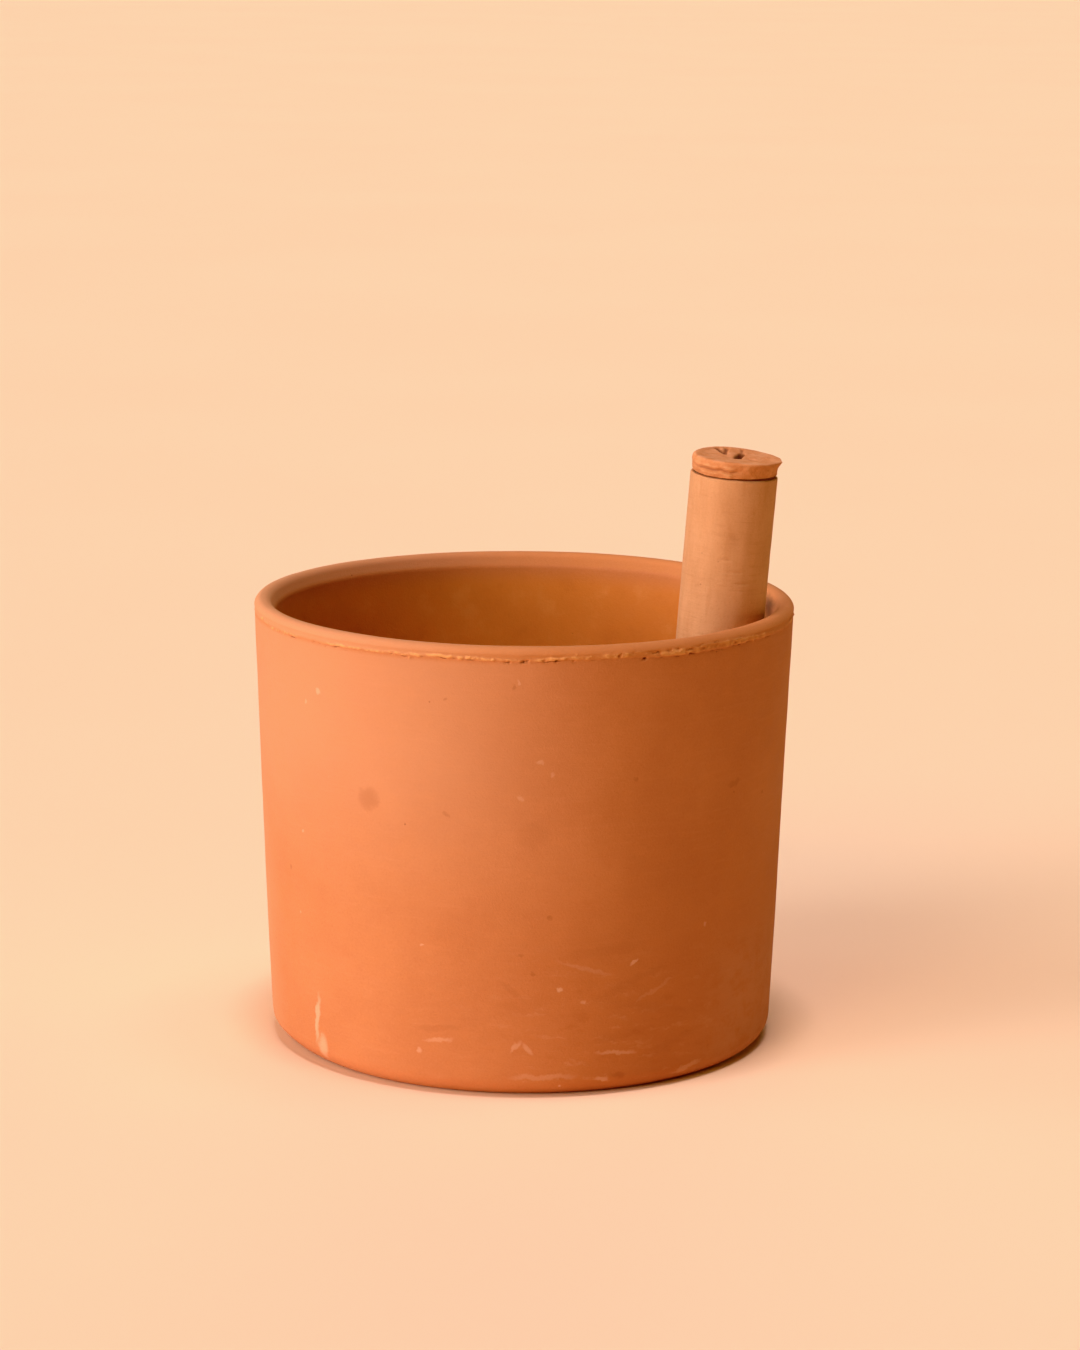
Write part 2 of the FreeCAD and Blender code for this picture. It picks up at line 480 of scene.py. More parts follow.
CAP_FINE = 256
CAP_NECK_RADIUS = 9.35
CAP_LIFT = 0.02  # of the disc's underside, over the shaft's end
CAP_SIDE_STEPS, CAP_ROUND_STEPS, CAP_TOP_STEPS = 20, 8, 36
# Points in a ring of the disc's top face, from that step away from its middle.
CAP_TOP_COUNTS = [(15, CAP_FINE), (6, 128), (2, 64), (1, 32), (0, 1)]

# Folds and the pinhole in the disc's top: two ends, half width and depth.
CAP_CREASES = [
    ((1.3, 4.6), (-0.1, -0.4), 0.62, 1.60),
    ((1.3, 4.6), (1.7, 8.8), 0.45, 0.35),
    ((-4.6, 8.2), (-2.6, 2.8), 0.60, 0.55),
    ((-2.0, 8.8), (-2.7, 3.4), 0.50, 0.50),
    ((-7.8, 5.0), (-4.0, 8.4), 0.60, 0.35),
    ((2.8, 0.4), (4.2, -0.6), 0.55, 0.35),
    ((3.4, -3.0), (8.0, -1.0), 0.60, 0.14),
    ((-8.0, -1.5), (-4.5, -1.0), 0.90, 0.16),
]


def cap_side(bearing, share, height, radius):
    """Radius and height of the disc's side, from its lower edge at share 0 to its upper edge at share 1."""
    left, right = near(bearing, -75, 60), near(bearing, 92, 42)
    low = 0.22 + 0.40 * smoothstep(-30, 45, bearing) * (1 - smoothstep(110, 170, bearing))
    round_off = 0.45 + 0.45 * left - 0.22 * right
    top = height - 0.15 * right + 0.40 * near(bearing, -160, 50)
    lower_radius = 9.8 + 0.12 * left - 0.1 * right
    upper_radius = radius - 0.12 * left + 0.10 * right
    lean = share ** (1 + 0.9 * right)
    r = lower_radius + (upper_radius - lower_radius) * lean + 0.2 * left * np.sin(math.pi * share)
    w = low + share * (top - round_off - low)
    return r, w, round_off


def cap_top(x, y, radius):
    """Height of the disc's pinched top face below its edge, and how much of a crease is there."""
    out = np.hypot(x, y) / radius
    dish = 0.38 * (1 - out ** 2) + 0.15 * bump(np.hypot(x - 0.4, y - 1.6), 3.0)
    hollow = np.zeros_like(x)
    for start, end, width, depth in CAP_CREASES:
        along = np.array(end) - np.array(start)
        share = np.clip(((x - start[0]) * along[0] + (y - start[1]) * along[1]) / (along @ along), 0, 1)
        away = np.hypot(x - start[0] - share * along[0], y - start[1] - share * along[1])
        line = bump(away, width)
        dish = dish + depth * line
        hollow = hollow + 2.4 * depth * line
    return dish, hollow


def make_cap():
    """Flared disc with a lumpy double edge, standing proud of the shaft over an open joint whose narrow neck
    is painted with shade.
    """
    middle, low, high, radius = placed("pestle_end_cap")
    seat = placed("pestle_shaft")[2]
    height = high - seat
    lumps, grain = Noise(31), Noise(37)
    rings, cavity = [], []

    def add(count, r, w, hollow):
        angle = circle(count)
        rings.append(around(r, angle, w))
        cavity.append(hollow + 0 * angle)

    def edge(share):
        """Radius, height, rounding and cavity round the lumpy side, at a share of its height."""
        angle = circle(CAP_FINE)
        bearing = bearing_of(angle)
        r, w, round_off = cap_side(bearing, share, height, radius)
        spots = around(r, angle, w)
        front_left = smoothstep(-85, -55, bearing) * (1 - smoothstep(-8, 8, bearing))
        fold = w - 2.1 - 0.003 * bearing + 0.25 * lumps(spots / 2.0)
        tier = bump(fold, 0.32) * front_left
        swell = (bump(fold - 0.75, 0.4) + bump(fold + 0.75, 0.4)) * front_left
        lump = 0.24 * lumps(spots / 2.3) + 0.10 * grain.fractal(spots / 1.0, 3) + 0.14 * swell
        return r + lump - 0.30 * tier, w, round_off, 0.9 * tier - 0.9 * np.clip(lump, 0, 1)

    # The underside and the neck carry a cavity that paints shade on them.
    add(1, 0, CAP_LIFT, 1)
    for r, count in ((4.0, 64), (7.0, 128), (CAP_NECK_RADIUS, CAP_FINE)):
        add(count, r, CAP_LIFT, 1)
    r, w, _, _ = edge(0.0)
    for share in (0.35, 0.7, 1.0):
        add(CAP_FINE, CAP_NECK_RADIUS + 0.15 * share * share, CAP_LIFT + (w - CAP_LIFT) * share, 1.5)
    add(CAP_FINE, (CAP_NECK_RADIUS + 2 * r) / 3, w + CAP_LIFT, 1.0)
    for step in range(CAP_SIDE_STEPS + 1):
        r, w, round_off, hollow = edge(step / CAP_SIDE_STEPS)
        add(CAP_FINE, r - (0.18 if step == 0 else 0), w, hollow)
    for step in range(1, CAP_ROUND_STEPS + 1):
        turn = step / CAP_ROUND_STEPS * math.pi / 2
        add(CAP_FINE, r - round_off * (1 - math.cos(turn)), w + round_off * math.sin(turn), 0)
    rim_r, rim_w = r - round_off, w + round_off
    for step in reversed(range(CAP_TOP_STEPS)):
        share = step / CAP_TOP_STEPS
        count = next(number for least, number in CAP_TOP_COUNTS if step >= least)
        angle = circle(count)
        skip = CAP_FINE // count
        r = rim_r[::skip] * share
        x, y = r * np.cos(angle), r * np.sin(angle)
        dish, crease = cap_top(x, y, radius - 0.6)
        fade = smoothstep(0, 0.16, 1 - share) if share > 0.5 else 1.0
        spots = around(r, angle, 0)
        rough = 0.10 * lumps(spots / 2.3 + 4) + 0.05 * grain.fractal(spots / 0.9, 3)
        add(count, r, rim_w[::skip] - fade * dish + fade * rough, fade * crease)
    return ring_mesh("pestle_disc", rings, cavity, standing(middle, seat))


# --- Materials ---
class Shader:
    """A new material's node tree, written as sums on sockets."""

    def __init__(self, name, specular):
        self.material = bpy.data.materials.new(name)
        self.material.use_nodes = True
        self.nodes, self.links = self.material.node_tree.nodes, self.material.node_tree.links
        self.nodes.clear()
        self.surface = self.nodes.new("ShaderNodeBsdfPrincipled")
        self.surface.inputs["Specular IOR Level"].default_value = specular
        out = self.nodes.new("ShaderNodeOutputMaterial")
        self.links.new(self.surface.outputs[0], out.inputs[0])

    def node(self, kind, inputs, **settings):
        """A node with its settings, and its inputs set or linked by name or number."""
        made = self.nodes.new("ShaderNode" + kind)
        for name, value in settings.items():
            setattr(made, name, value)
        for name, value in inputs.items():
            if isinstance(value, bpy.types.NodeSocket):
                self.links.new(value, made.inputs[name])
            else:
                made.inputs[name].default_value = value
        return made

    def sum(self, operation, a, b=0.0, c=0.0):
        """Any of the Math node's operations."""
        return self.node("Math", {0: a, 1: b, 2: c}, operation=operation).outputs[0]

    def times(self, a, b):
        return self.sum("MULTIPLY", a, b)

    def place(self):
        """Position on the piece, in millimetres."""
        spot = self.node("NewGeometry", {}).outputs["Position"]
        return self.node("VectorMath", {0: spot, "Scale": 1 / MM}, operation="SCALE").outputs[0]

    def scaled(self, spot, factors):
        return self.node("VectorMath", {0: spot, 1: factors}, operation="MULTIPLY").outputs[0]

    def noise(self, spot, size, detail=3.0, rough=0.55):
        """Noise of about 0 to 1 with features of that size in millimetres."""
        inputs = {"Vector": spot, "Scale": 1 / size, "Detail": detail, "Roughness": rough}
        return self.node("TexNoise", inputs).outputs["Fac"]

    def ramp(self, value, low, high, to_low=0.0, to_high=1.0):
        """Smooth step from to_low, where the value is low, to to_high, where it is high."""
        inputs = {"Value": value, "From Min": low, "From Max": high, "To Min": to_low, "To Max": to_high}
        return self.node("MapRange", inputs, interpolation_type="SMOOTHSTEP").outputs[0]

    def mix(self, share, a, b):
        """Colours a and b, mixed by share."""
        made = self.node("Mix", {}, data_type="RGBA")
        for socket, value in ((0, share), (6, a), (7, b)):
            if isinstance(value, bpy.types.NodeSocket):
                self.links.new(value, made.inputs[socket])
            elif socket == 0:
                made.inputs[socket].default_value = value
            else:
                made.inputs[socket].default_value = (*value, 1)
        return made.outputs[2]

    def tint(self, colour, share, amount, paint):
        """The colour with paint over it, as strong as share times amount."""
        return self.mix(self.times(share, amount), colour, paint)

    def specks(self, spot, size, spread, chance):
        """Round specks up to that size, in each cell of the spread whose random number is under chance."""
        made = self.node("TexVoronoi", {"Vector": spot, "Scale": 1 / spread, "Randomness": 1.0})
        lot = self.node("SeparateColor", {0: made.outputs["Color"]}).outputs[0]
        disc = self.ramp(made.outputs["Distance"], 0.0, size / spread, 1.0, 0.0)
        return self.times(disc, self.sum("LESS_THAN", lot, chance))

    def cavity(self):
        """The number that ring_mesh stores on the mesh."""
        return self.node("Attribute", {}, attribute_name="cavity").outputs["Fac"]

    def finish(self, colour, roughness, height, depth):
        """Joins colour, roughness and a bump of height times depth in millimetres."""
        self.links.new(colour, self.surface.inputs["Base Color"])
        self.links.new(roughness, self.surface.inputs["Roughness"])
        bumped = self.node("Bump", {"Height": height, "Distance": depth * MM, "Strength": 1.0})
        self.links.new(bumped.outputs[0], self.surface.inputs["Normal"])
        return self.material


# Marks on the wall: bearing, height, half width, half height, tilt and strength.
DARK_MARKS = [
    (-34, 69, 2.6, 2.5, 0, 0.55),
    (-16, 94.5, 0.5, 0.4, 0, 0.6),
    (-60.5, 47, 0.5, 0.5, 0, 0.6),
    (-16, 67.5, 0.5, 0.4, 0, 0.5),
    (-2, 98, 0.35, 0.8, 10, 0.6),
    (6, 43.5, 0.6, 0.5, 0, 0.7),
    (0, 34.5, 0.6, 0.4, 0, 0.6),
    (2.5, 30, 0.5, 0.4, 0, 0.6),
    (24, 75.5, 0.5, 0.5, 0, 0.6),
    (63, 66, 0.5, 0.4, 0, 0.6),
    (51, 70.5, 2.0, 0.7, 10, 0.5),
    (2, 63, 3.6, 2.6, 0, 0.22),
    (18, 35, 9.5, 1.2, 4, 0.22),
    (-2, 26, 3.2, 0.7, -38, 0.28),
    (24, 26.5, 9.0, 1.0, 20, 0.22),
    (30, 20, 10.0, 1.1, -12, 0.2),
    (22, 14, 7.0, 1.0, 8, 0.22),
    (34, 10, 8.0, 1.2, 15, 0.2),
    (-18, 16, 5.0, 0.7, 6, 0.3),
    (22, 4.5, 1.6, 0.6, 0, 0.6),
    (105, 70, 2.2, 1.6, 20, 0.35),
    (128, 40, 0.6, 0.5, 0, 0.6),
    (150, 84, 0.5, 0.5, 0, 0.6),
    (162, 22, 7.0, 1.0, 10, 0.3),
    (-150, 62, 0.6, 0.5, 0, 0.6),
    (-132, 78, 2.0, 1.8, 0, 0.3),
    (-118, 30, 4.5, 0.9, -12, 0.3),
]
PALE_MARKS = [
    (-47.5, 92, 0.7, 0.7, 0, 0.8),
    (-52, 89, 0.5, 0.5, 0, 0.7),
    (-54.5, 57, 0.5, 0.5, 0, 0.7),
    (3.5, 80.5, 0.7, 0.6, 0, 0.6),
    (6, 77.5, 0.5, 0.6, 0, 0.5),
    (-0.5, 72, 0.5, 0.5, 0, 0.5),
    (-21.5, 35.5, 0.5, 0.4, 0, 0.7),
    (-22.5, 10, 0.6, 0.6, 0, 0.7),
    (43.5, 38, 0.5, 0.5, 0, 0.6),
    (13.5, 23, 0.6, 0.5, 0, 0.6),
    (25, 31.5, 1.2, 0.4, 15, 0.9),
    (8.5, 26, 0.7, 0.5, 0, 0.9),
    (-1, 99, 0.3, 0.6, 10, 0.6),
    (-51.5, 12, 0.9, 5.2, -8, 1.0),
    (-50, 5.5, 1.6, 2.6, -10, 0.9),
    (21.5, 10, 4.5, 0.5, -4, 0.6),
    (-1, 12.5, 0.5, 1.6, -45, 0.6),
    (1.5, 12, 0.5, 1.6, 40, 0.55),
    (-18, 13, 3.2, 0.5, 8, 0.5),
    (5, 5, 7.0, 0.7, 0, 0.4),
    (18, 4, 1.6, 0.5, 0, 0.6),
    (40, 3.5, 4.0, 0.6, 10, 0.6),
    (14, 31, 6.0, 0.5, -16, 0.25),
    (30, 24, 5.0, 0.5, 24, 0.25),
    (112, 15, 3.5, 0.6, 12, 0.5),
    (140, 28, 0.6, 1.8, 30, 0.5),
    (158, 8, 4.0, 0.6, -6, 0.5),
    (170, 55, 0.6, 0.5, 0, 0.6),
    (-160, 12, 0.8, 3.6, 6, 0.6),
    (-140, 24, 3.0, 0.5, 18, 0.4),
    (-122, 88, 0.7, 0.6, 0, 0.7),
    (-105, 52, 0.6, 0.5, 0, 0.7),
]


def wall_marks(shader, along, up, marks):
    """Sum of soft marks on the unrolled wall, in plain numbers because Cycles has room for few vectors."""
    total = 0.0
    for bearing, height, half_width, half_height, tilt, strength in marks:
        cosine, sine = math.cos(math.radians(tilt)), math.sin(math.radians(tilt))
        away = 0.0
        for run, rise, reach in ((cosine, sine, half_width), (-sine, cosine, half_height)):
            start = -(bearing * ARC * run + height * rise) / reach
            part = shader.sum("MULTIPLY_ADD", along, run / reach, start)
            part = shader.sum("MULTIPLY_ADD", up, rise / reach, part)
            away = shader.sum("MULTIPLY_ADD", part, part, away)
        total = shader.sum("ADD", total, shader.ramp(away, 0.1, 2.2, strength, 0.0))
    return total


# Middle of the pestle's painted shadow on the inside wall, in millimetres along the wall to the right of the
# front.
PESTLE_SHADOW_ALONG = 111.0
# The middle of the brushed patch near the foot, measured in the same way.
PATCH_ALONG = 24.0


def terracotta():
    """Sanded terracotta with dust, damp, brushed slip and small marks; lengths along the wall are arcs."""
    shader = Shader("mortar_terracotta", 0.25)
    spot = shader.place()
    x, y, z = shader.node("SeparateXYZ", {0: spot}).outputs
    bearing = shader.sum("ARCTAN2", x, shader.times(y, -1.0))
    along = shader.times(bearing, RIM_RADIUS)
    shift = shader.sum("MULTIPLY_ADD", shader.noise(spot, 2.2, 2.0, 0.6), 2.2, -1.1)
    mark_along, mark_up = shader.sum("ADD", along, shift), shader.sum("SUBTRACT", z, shift)
    wobble = shader.node("CombineXYZ", {0: mark_along, 1: mark_up}).outputs[0]

    flat = shader.scaled(spot, (1, 1, 0))
    radius = shader.node("VectorMath", {0: flat}, operation="LENGTH").outputs["Value"]
    wall_line = shader.sum("MULTIPLY_ADD", z, (RIM_RADIUS - BASE_RADIUS) / MORTAR_HEIGHT, BASE_RADIUS - 2.4)
    foot = shader.sum("LESS_THAN", z, FOOT_ROUND)
    outside = shader.sum("MAXIMUM", shader.sum("GREATER_THAN", radius, wall_line), foot)
    below_lip = shader.ramp(z, SEAM_LOW, SEAM_MIDDLE, 1.0, 0.0)
    wall = shader.times(outside, below_lip)
    # What is placed round the wall fades out before the middle of the back, where the bearing jumps.
    front = shader.times(wall, shader.ramp(shader.sum("ABSOLUTE", along), 115.0, 185.0, 1.0, 0.0))

    clouds = shader.noise(spot, 34.0, 4.0, 0.6)
    mottle = shader.noise(shader.scaled(spot, (1, 1, 1.5)), 7.0, 5.0, 0.65)
    grain = shader.noise(spot, 0.55, 4.0, 0.7)
    drag = shader.noise(shader.scaled(spot, (0.12, 0.12, 1.4)), 1.6, 4.0, 0.6)

    colour = shader.mix(shader.ramp(clouds, 0.35, 0.65), (0.550, 0.190, 0.065), (0.588, 0.211, 0.075))
    colour = shader.tint(colour, shader.ramp(mottle, 0.45, 0.75), 0.20, (0.66, 0.245, 0.092))
    colour = shader.tint(colour, shader.ramp(mottle, 0.5, 0.28), 0.18, (0.52, 0.150, 0.042))
    colour = shader.tint(colour, shader.ramp(drag, 0.52, 0.72), shader.times(wall, 0.12), (0.68, 0.27, 0.11))
    colour = shader.tint(colour, shader.ramp(grain, 0.5, 0.8), 0.20, (0.70, 0.30, 0.13))
    colour = shader.tint(colour, shader.ramp(grain, 0.5, 0.22), 0.24, (0.44, 0.12, 0.034))

    # Pale dust and painted sheen on the lit left side, most on the upper wall, the far left edge and the
    # lip.
    lip = shader.ramp(z, MORTAR_HEIGHT - 3.4, MORTAR_HEIGHT - 2.4)
    lip_dust_and_sheen = shader.times(lip, shader.ramp(x, 15.0, -45.0, 0.0, 0.55))
    upper_dust_and_sheen = shader.times(shader.ramp(z, 35.0, 82.0), shader.ramp(along, 25.0, -22.0, 0.0, 0.50))
    side_dust_and_sheen = shader.ramp(along, -72.0, -96.0, 0.0, 0.45)
    wall_dust_and_sheen = shader.times(front, shader.sum("MAXIMUM", upper_dust_and_sheen, side_dust_and_sheen))
    colour = shader.tint(colour, lip, 0.45, (0.58, 0.215, 0.060))
    colour = shader.mix(shader.sum("MAXIMUM", lip_dust_and_sheen, wall_dust_and_sheen), colour, (0.65, 0.295, 0.145))

    # The inside is a deeper orange, with painted fill light and the pestle's painted shadow.
    inside_wall = shader.sum("SUBTRACT", 1.0, outside)
    inside = shader.times(inside_wall, shader.ramp(z, MORTAR_HEIGHT - 9.0, MORTAR_HEIGHT - 1.8, 1.0, 0.0))
    # Painted fill light: the inside is lighter on the left, which is in shade, than on the right, which is
    # lit.
    deep_with_painted_fill = shader.mix(shader.ramp(x, -25.0, 35.0), (0.700, 0.258, 0.041), (0.650, 0.212, 0.037))
    colour = shader.tint(colour, inside, 0.80, deep_with_painted_fill)
    scuffs = shader.noise(spot, 9.0, 5.0, 0.65)
    pale_scuffs = shader.ramp(scuffs, 0.50, 0.72)
    colour = shader.tint(colour, pale_scuffs, shader.times(inside, 0.25), (0.80, 0.36, 0.11))
    dark_scuffs = shader.ramp(scuffs, 0.48, 0.28)
    colour = shader.tint(colour, dark_scuffs, shader.times(inside, 0.25), (0.50, 0.14, 0.025))
    # Painted shadow of the pestle: a dark patch on the inside wall beside it, just below the lip.
    pestle_shadow_side = shader.sum("ABSOLUTE", shader.sum("SUBTRACT", mark_along, PESTLE_SHADOW_ALONG))
    pestle_shadow_rise = shader.times(shader.ramp(mark_up, 95.0, 103.0), shader.ramp(mark_up, 104.2, 106.5, 1.0, 0.0))
    pestle_shadow = shader.times(shader.ramp(pestle_shadow_side, 0.0, 11.0, 1.0, 0.0), shader.times(pestle_shadow_rise, inside_wall))
    colour = shader.tint(colour, pestle_shadow, 0.82, (0.085, 0.026, 0.010))

    # Painted shade: the lower wall at the front right, away from the light, is darkened towards the bottom.
    painted_shade_low_right = shader.times(front, shader.times(shader.ramp(z, 70.0, 12.0), shader.ramp(along, -22.0, 22.0)))
    colour = shader.tint(colour, painted_shade_low_right, 0.42, (0.46, 0.135, 0.036))

    # Brushed slip and salt near the foot, thickest at the front right.
    patch_side = shader.sum("ABSOLUTE", shader.sum("SUBTRACT", along, PATCH_ALONG))
    foot_side = shader.ramp(patch_side, 10.0, 44.0, 1.0, 0.0)
    brushed = shader.noise(shader.scaled(wobble, (0.28, 1.0, 1.0)), 2.6, 4.0, 0.65)
    low_wall = shader.times(shader.ramp(z, 20.0, 42.0, 1.0, 0.0), front)
    patch = shader.times(low_wall, shader.sum("MULTIPLY_ADD", foot_side, 0.8, 0.2))
    slip = shader.times(shader.ramp(brushed, 0.54, 0.70), patch)
    colour = shader.tint(colour, slip, 0.26, (0.70, 0.33, 0.16))
    missed = shader.times(shader.ramp(brushed, 0.46, 0.32), patch)
    colour = shader.tint(colour, missed, 0.28, (0.44, 0.125, 0.034))
    bloom_side = shader.ramp(along, 40.0, 66.0)
    bloom = shader.times(bloom_side, shader.times(low_wall, shader.ramp(mottle, 0.35, 0.6)))
    colour = shader.tint(colour, bloom, 0.20, (0.62, 0.33, 0.20))

    pale = shader.times(wall_marks(shader, mark_along, mark_up, PALE_MARKS), wall)
    dark = shader.times(wall_marks(shader, mark_along, mark_up, DARK_MARKS), wall)
    lime = shader.specks(spot, 0.55, 9.0, 0.30)
    iron = shader.specks(shader.scaled(spot, (1.1, 1.1, 1.1)), 0.38, 6.0, 0.30)
    colour = shader.tint(colour, lime, 0.55, (0.80, 0.47, 0.28))
    colour = shader.tint(colour, iron, 0.60, (0.25, 0.06, 0.02))
    colour = shader.tint(colour, pale, 0.62, (0.76, 0.42, 0.24))
    colour = shader.tint(colour, dark, 0.52, (0.33, 0.090, 0.028))

    hollow = shader.cavity()
    crumbs = shader.ramp(hollow, -0.12, -1.1, 0.0, 0.75)
    crumbly = shader.times(crumbs, shader.ramp(along, 20.0, 60.0, 1.0, 0.6))
    colour = shader.mix(crumbly, colour, (0.76, 0.35, 0.115))
    # Painted shade in the seam's pits and the grooves under and over it, where the mesh's cavity is
    # positive.
    colour = shader.mix(shader.ramp(hollow, 0.15, 1.4, 0.0, 0.88), colour, (0.16, 0.042, 0.012))

    roughness = shader.ramp(mottle, 0.3, 0.7, 0.78, 0.95)
    height = shader.sum("MULTIPLY_ADD", shader.noise(spot, 0.32, 3.0, 0.7), 0.45, shader.times(grain, 0.8))
    height = shader.sum("ADD", height, shader.times(drag, shader.times(wall, 0.7)))
    height = shader.sum("ADD", height, shader.times(brushed, shader.times(patch, 1.4)))
    specked = shader.sum("SUBTRACT", shader.times(lime, 0.4), shader.times(iron, 0.9))
    height = shader.sum("ADD", height, specked)
    return shader.finish(colour, roughness, height, 0.10)


def pestle_spot(shader):
    """Position turned so that Z runs along the pestle."""
    right, back, up = pestle_axes()
    spot = shader.place()
    parts = {
        i: shader.node("VectorMath", {0: spot, 1: tuple(axis)}, operation="DOT_PRODUCT").outputs["Value"]
        for i, axis in enumerate((right, back, up))
    }
    return shader.node("CombineXYZ", parts).outputs[0]


def shaft_clay():
    shader = Shader("shaft_clay", 0.25)
    spot = pestle_spot(shader)
    clouds = shader.noise(shader.scaled(spot, (1, 1, 0.45)), 7.0, 4.0, 0.6)
    streaks = shader.noise(shader.scaled(spot, (1, 1, 0.10)), 2.2, 3.0, 0.6)
    turning = shader.noise(shader.scaled(spot, (0.10, 0.10, 1.0)), 0.7, 4.0, 0.65)
    grain = shader.noise(spot, 0.45, 4.0, 0.7)
    colour = shader.mix(shader.ramp(clouds, 0.32, 0.68), (0.58, 0.264, 0.106), (0.64, 0.308, 0.136))
    colour = shader.tint(colour, shader.ramp(streaks, 0.48, 0.72), 0.35, (0.68, 0.32, 0.14))
    colour = shader.tint(colour, shader.ramp(streaks, 0.48, 0.28), 0.30, (0.50, 0.19, 0.062))
    colour = shader.tint(colour, shader.ramp(turning, 0.54, 0.72), 0.16, (0.70, 0.34, 0.16))
    colour = shader.tint(colour, shader.ramp(turning, 0.46, 0.28), 0.18, (0.44, 0.155, 0.050))
    colour = shader.tint(colour, shader.ramp(grain, 0.52, 0.80), 0.30, (0.74, 0.39, 0.20))
    colour = shader.tint(colour, shader.ramp(grain, 0.48, 0.22), 0.30, (0.40, 0.14, 0.045))
    iron = shader.specks(spot, 0.35, 4.0, 0.35)
    colour = shader.tint(colour, iron, 0.55, (0.26, 0.08, 0.03))
    hollow = shader.cavity()
    # Painted shade in the dents and turning grooves, where the mesh's cavity is positive.
    colour = shader.mix(shader.ramp(hollow, 0.04, 0.6, 0.0, 0.55), colour, (0.34, 0.11, 0.035))
    roughness = shader.ramp(clouds, 0.3, 0.7, 0.80, 0.95)
    height = shader.sum("MULTIPLY_ADD", turning, 1.1, shader.times(grain, 0.8))
    height = shader.sum("SUBTRACT", height, shader.times(iron, 0.8))
    return shader.finish(colour, roughness, height, 0.09)


def cap_terracotta():
    shader = Shader("cap_terracotta", 0.25)
    spot = pestle_spot(shader)
    clouds = shader.noise(spot, 4.0, 4.0, 0.6)
    grain = shader.noise(spot, 0.4, 4.0, 0.7)
    facing = shader.node("NewGeometry", {}).outputs["True Normal"]
    up = tuple(pestle_axes()[2])
    level = shader.node("VectorMath", {0: facing, 1: up}, operation="DOT_PRODUCT").outputs["Value"]
    top = shader.ramp(level, 0.55, 0.92)
    colour = shader.mix(shader.ramp(clouds, 0.35, 0.65), (0.56, 0.205, 0.068), (0.63, 0.250, 0.092))
    topping = shader.mix(shader.ramp(clouds, 0.35, 0.65), (0.60, 0.212, 0.068), (0.68, 0.290, 0.125))
    colour = shader.mix(top, colour, topping)
    colour = shader.tint(colour, shader.ramp(grain, 0.52, 0.80), 0.30, (0.72, 0.36, 0.18))
    colour = shader.tint(colour, shader.ramp(grain, 0.48, 0.22), 0.35, (0.36, 0.11, 0.035))
    hollow = shader.cavity()
    colour = shader.mix(shader.ramp(hollow, -0.02, -0.2, 0.0, 0.4), colour, (0.74, 0.36, 0.15))
    # Painted shade in the creases, the pinhole, the groove along the edge and the neck, where the mesh's
    # cavity is positive.
    colour = shader.mix(shader.ramp(hollow, 0.2, 1.4, 0.0, 0.85), colour, (0.20, 0.055, 0.020))
    roughness = shader.ramp(clouds, 0.3, 0.7, 0.80, 0.95)
    height = shader.sum("MULTIPLY_ADD", clouds, 1.5, grain)
    return shader.finish(colour, roughness, height, 0.09)


def floor_paper():
    """Plain matt peach paper with a trace of tooth."""
    shader = Shader("floor_paper", 0.1)
    spot = shader.place()
    clouds = shader.noise(spot, 260.0, 2.0, 0.5)
    tooth = shader.noise(spot, 0.8, 2.0, 0.6)
    colour = shader.mix(shader.ramp(clouds, 0.3, 0.7), (0.948, 0.660, 0.434), (0.960, 0.670, 0.442))
    return shader.finish(colour, shader.ramp(tooth, 0.3, 0.7, 0.92, 0.98), tooth, 0.01)


for piece, node, body, slot, material in (
    (make_mortar(), "mortar_body", "mortar", "mortar_terracotta", terracotta()),
    (make_shaft(), "pestle_shaft", "pestle", "shaft_clay", shaft_clay()),
    (make_cap(), "pestle_end_cap", "pestle", "cap_terracotta", cap_terracotta()),
):
    piece.data.materials.append(material)
    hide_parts(node)
    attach(piece, body)

# --- Stage, lights and camera ---
FLOOR_SIZE = 40.0
bpy.ops.mesh.primitive_plane_add(size=FLOOR_SIZE)
floor = bpy.context.object
floor.name = "studio_floor"
floor.data.materials.append(floor_paper())

WORLD_COLOUR = (0.985, 0.68, 0.44)
WORLD_LIGHT = 0.02


def make_world():
    """Peach behind the floor's far edge, which lights the object only a little."""
    world = bpy.data.worlds.new("studio")
    bpy.context.scene.world = world
    world.use_nodes = True
    nodes, links = world.node_tree.nodes, world.node_tree.links
    background = nodes["Background"]
    background.inputs["Color"].default_value = (*WORLD_COLOUR, 1)
    seen = nodes.new("ShaderNodeLightPath").outputs["Is Camera Ray"]
    strength = nodes.new("ShaderNodeMapRange")
    strength.inputs["To Min"].default_value = WORLD_LIGHT
    strength.inputs["To Max"].default_value = 1.0
    links.new(seen, strength.inputs["Value"])
    links.new(strength.outputs[0], background.inputs["Strength"])


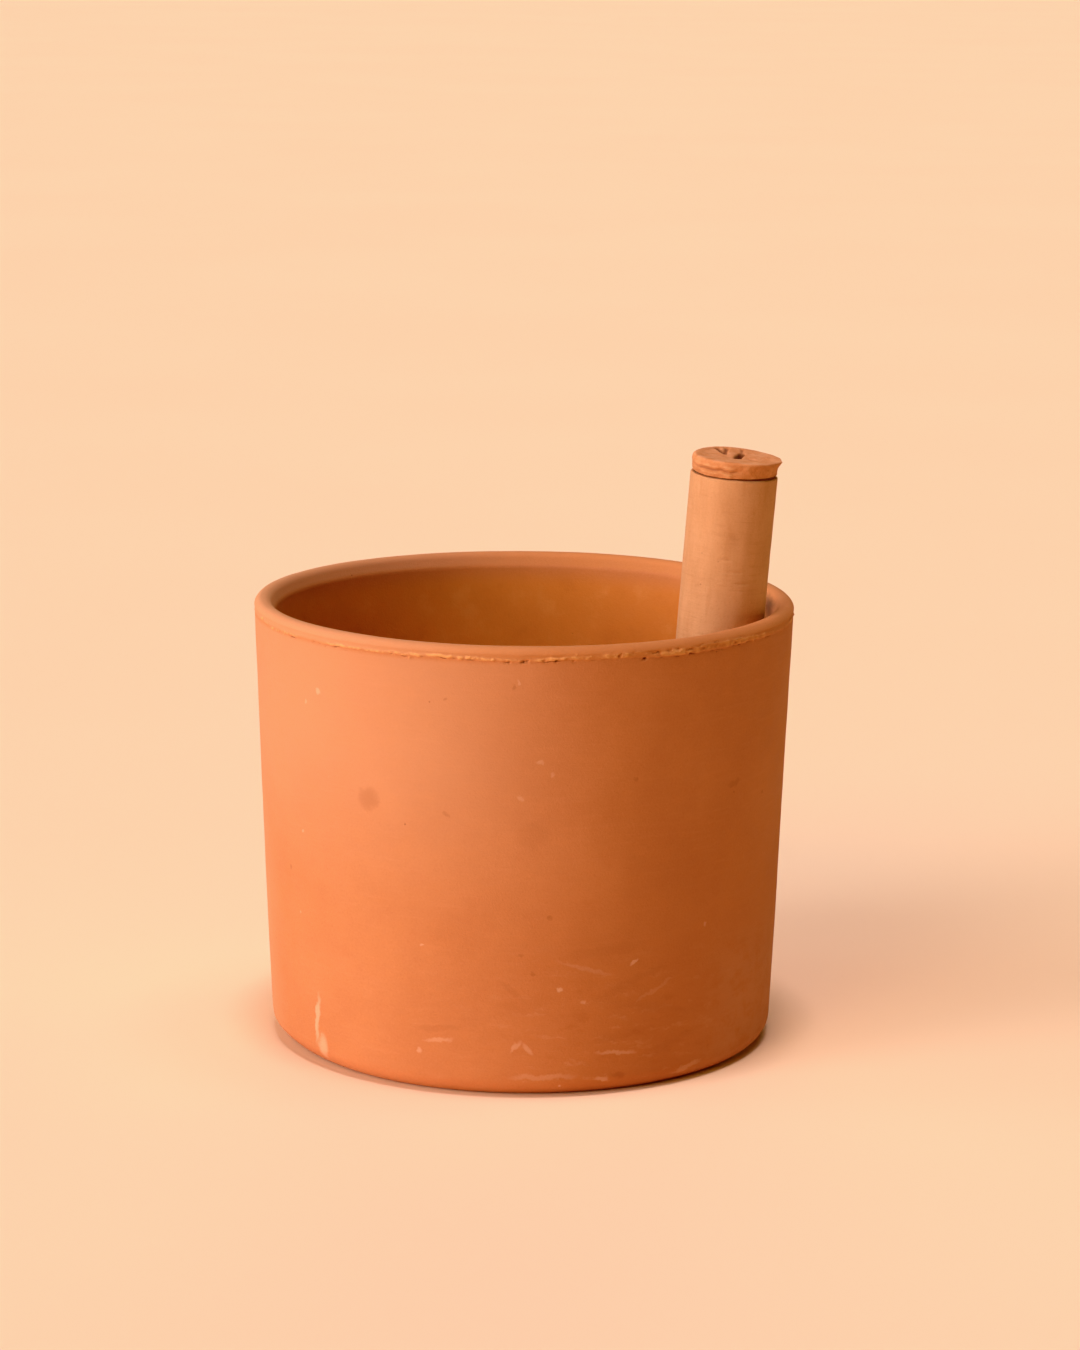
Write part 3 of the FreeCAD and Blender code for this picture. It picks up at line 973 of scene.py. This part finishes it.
# Lamps: name, bearing to the left of the front, elevation and width, in degrees, and strength as a colour.
LAMPS = [
    ("window", 60, 5, 25, (1.65, 1.50, 1.60)),
    ("window_side", 85, 5, 25, (0.85, 0.90, 1.00)),
    ("window_edge", 95, 5, 25, (0.70, 0.80, 0.90)),
    ("window_middle", 60, 18, 25, (0.50, 0.45, 0.55)),
    ("window_high", 45, 35, 40, (0.65, 0.85, 0.90)),
    ("room", 25, 28, 30, (0.65, 0.40, 0.10)),
    ("ceiling", 0, 85, 12, (1.70, 1.50, 1.70)),
    ("ceiling_right", -95, 76, 16, (0.35, 0.30, 0.30)),
    ("bounce_back", 180, 15, 40, (0.75, 0.65, 0.35)),
    ("bounce_right", -120, 15, 30, (0.30, 0.30, 0.05)),
]


def add_lamp(name, bearing, elevation, width, strength):
    """A far lamp whose light comes from that direction."""
    lamp = bpy.data.lights.new(name, "SUN")
    lamp.energy, lamp.angle = max(strength), math.radians(width)
    lamp.color = [part / max(strength) for part in strength]
    b, e = math.radians(bearing), math.radians(elevation)
    towards = Vector((-math.sin(b) * math.cos(e), -math.cos(b) * math.cos(e), math.sin(e)))
    holder = bpy.data.objects.new(name, lamp)
    holder.rotation_mode = "QUATERNION"
    holder.rotation_quaternion = towards.to_track_quat("Z", "Y")
    bpy.context.scene.collection.objects.link(holder)


for lamp in LAMPS:
    add_lamp(*lamp)

CAMERA_DISTANCE = 0.941
CAMERA_HEIGHT = 0.2807
CAMERA_PITCH, CAMERA_YAW, CAMERA_ROLL = 11.6, 0.24, 0.6
CAMERA_LENS = 105.85


def make_camera():
    data = bpy.data.cameras.new("camera")
    data.sensor_width = 36
    data.lens = CAMERA_LENS
    data.clip_start, data.clip_end = 0.01, 100
    camera = bpy.data.objects.new("camera", data)
    bpy.context.scene.collection.objects.link(camera)
    turn = (
        Matrix.Rotation(math.radians(-CAMERA_YAW), 4, "Z")
        @ Matrix.Rotation(math.radians(90 - CAMERA_PITCH), 4, "X")
        @ Matrix.Rotation(math.radians(CAMERA_ROLL), 4, "Z")
    )
    camera.matrix_world = Matrix.Translation((0, -CAMERA_DISTANCE, CAMERA_HEIGHT)) @ turn
    bpy.context.scene.camera = camera


# The picture's darkest tones are deepened a little and its white is held back, as on a print.
TOE = [(0.0, 0.0), (0.02, 0.0075), (0.06, 0.041), (1.0, 0.98)]


def set_view():
    view = bpy.context.scene.view_settings
    view.view_transform = "Standard"
    view.use_curve_mapping = True
    curve = view.curve_mapping.curves[3]
    for x, y in TOE[1:-1]:
        curve.points.new(x, y)
    curve.points[-1].location = TOE[-1]
    view.curve_mapping.extend = "HORIZONTAL"
    view.curve_mapping.update()


make_world()
make_camera()
set_view()
